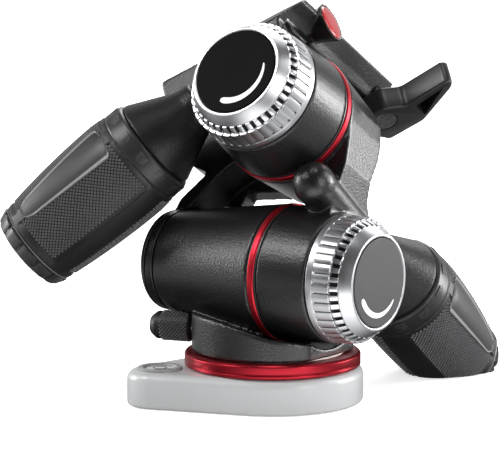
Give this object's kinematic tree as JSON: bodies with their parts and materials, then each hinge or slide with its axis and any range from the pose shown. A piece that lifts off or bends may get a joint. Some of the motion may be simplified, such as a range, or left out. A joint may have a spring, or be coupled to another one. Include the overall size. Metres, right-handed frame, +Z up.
{
  "type": "three way pan tilt head",
  "caption": "Camera tripod head with panning base, front tilt and side tilt barrels, friction knobs, twist-lock grips and a quick-release platform.",
  "frame": {"origin": "centre of the underside of the base plate, on the pan axis", "axes": "+Z up along the pan axis, +X along the lower tilt axis towards its friction knob, -Y the lens side"},
  "size_m": [0.1374, 0.1419, 0.1465],
  "materials": {
    "pale_alloy": "light grey satin",
    "level_glass": "clear vial with green fluid",
    "red_anodised": "red anodised, satin",
    "steel": "turned steel",
    "nylon": "natural nylon",
    "black_casting": "fine textured black powder coat",
    "bronze": "sintered bronze",
    "brass": "turned brass",
    "grip_rubber": "knurled black rubber",
    "black_plastic": "smooth black moulding",
    "satin_black": "satin black",
    "silver_knurled": "bright machined aluminium with ribs",
    "dial_grey": "dark satin disc with a white mark",
    "dial_black": "black satin disc with a white mark",
    "grip_panel": "smooth dark grey panel",
    "badge_red": "glossy red, bare"
  },
  "bodies": {
    "base": {"base_plate": "pale_alloy", "level_bezel": "pale_alloy", "level_vial": "level_glass", "base_disc": "red_anodised", "base_screws": "steel", "tripod_bush": "steel", "pan_bolt": "steel", "thrust_washer": "nylon", "pan_nut": "steel"},
    "pan_body": {"pan_housing": "black_casting", "pan_bush": "bronze", "pan_lock_pad": "brass", "tilt_spindle": "steel", "tilt_ring": "red_anodised"},
    "pan_knob": {"pan_knob_grip": "grip_rubber", "pan_knob_screw": "steel"},
    "yoke": {"tilt_yoke": "black_casting", "tilt_end_cap": "black_plastic", "end_cap_screws": "steel", "rear_cap": "satin_black", "roll_spindle": "steel", "roll_ring": "red_anodised", "tilt_bushes": "bronze", "tilt_lock_shoe": "brass"},
    "tilt_friction_knob": {"tilt_knob": "silver_knurled", "tilt_dial": "dial_grey", "tilt_nut": "brass", "tilt_spring_washers": "steel"},
    "tilt_handle": {"tilt_neck": "black_casting", "tilt_lock_rod": "steel"},
    "tilt_grip": {"tilt_collar": "black_plastic", "tilt_grip_core": "black_plastic", "tilt_grip_rubber": "grip_rubber", "tilt_grip_panel": "grip_panel", "tilt_grip_end": "black_plastic"},
    "platform": {"head_casting": "black_casting", "badge": "badge_red", "roll_bush": "bronze", "roll_lock_shoe": "brass", "lever_pin": "steel", "lever_spring": "steel"},
    "roll_friction_knob": {"roll_knob": "silver_knurled", "roll_dial": "dial_black", "roll_nut": "brass", "roll_spring_washers": "steel"},
    "roll_handle": {"roll_neck": "black_casting", "roll_lock_rod": "steel"},
    "roll_grip": {"roll_collar": "black_plastic", "roll_grip_core": "black_plastic", "roll_grip_rubber": "grip_rubber", "roll_grip_panel": "grip_panel", "roll_grip_end": "black_plastic"},
    "lever": {"release_lever": "satin_black"},
    "quick_plate": {"camera_plate": "satin_black", "plate_pad": "grip_rubber"},
    "screw": {"camera_screw": "steel", "screw_ring": "steel"}
  },
  "joints": [
    {"name": "pan", "type": "hinge", "parent": "base", "child": "pan_body", "pos_m": [0, 0, 0.0174], "axis": [0, 0, 1], "continuous": true},
    {"name": "pan_lock", "type": "hinge", "parent": "pan_body", "child": "pan_knob", "pos_m": [-0.03381, -0.00906, 0.023], "axis": [-0.9659, -0.2588, 0], "range_deg": [-270, 0]},
    {"name": "front_tilt", "type": "hinge", "parent": "pan_body", "child": "yoke", "pos_m": [0, 0, 0.0441], "axis": [1, 0, 0], "range_deg": [0, 95]},
    {"name": "tilt_friction", "type": "hinge", "parent": "pan_body", "child": "tilt_friction_knob", "pos_m": [0.035, 0, 0.0441], "axis": [1, 0, 0], "range_deg": [-150, 150]},
    {"name": "tilt_lock", "type": "hinge", "parent": "yoke", "child": "tilt_handle", "pos_m": [0.0204, 0.03704, 0.04236], "axis": [0, 0.7804, -0.6252], "range_deg": [-120, 0]},
    {"name": "tilt_grip_pull", "type": "slide", "parent": "tilt_handle", "child": "tilt_grip", "axis": [0, 0.7804, -0.6252], "range_m": [0, 0.034]},
    {"name": "side_tilt", "type": "hinge", "parent": "yoke", "child": "platform", "pos_m": [0, 0.0249, 0.08654], "axis": [0, 0.8625, -0.506], "range_deg": [0, 90]},
    {"name": "roll_friction", "type": "hinge", "parent": "yoke", "child": "roll_friction_knob", "pos_m": [0, -0.01478, 0.10981], "axis": [0, -0.8625, 0.506], "range_deg": [-150, 150]},
    {"name": "roll_lock", "type": "hinge", "parent": "platform", "child": "roll_handle", "pos_m": [-0.03618, -0.00251, 0.09317], "axis": [-0.66, -0.3802, -0.648], "range_deg": [-120, 0]},
    {"name": "roll_grip_pull", "type": "slide", "parent": "roll_handle", "child": "roll_grip", "axis": [-0.66, -0.3802, -0.648], "range_m": [0, 0.034]},
    {"name": "plate_release", "type": "hinge", "parent": "platform", "child": "lever", "pos_m": [0.00027, 0.06622, 0.09374], "axis": [-0.5446, 0.4244, 0.7234], "range_deg": [0, 35]},
    {"name": "plate_slide", "type": "slide", "parent": "platform", "child": "quick_plate", "axis": [0, 0.8625, -0.506], "range_m": [0, 0.045]},
    {"name": "camera_screw_turn", "type": "hinge", "parent": "quick_plate", "child": "screw", "pos_m": [-0.02921, 0.04736, 0.1021], "axis": [-0.5446, 0.4244, 0.7234], "continuous": true}
  ]
}
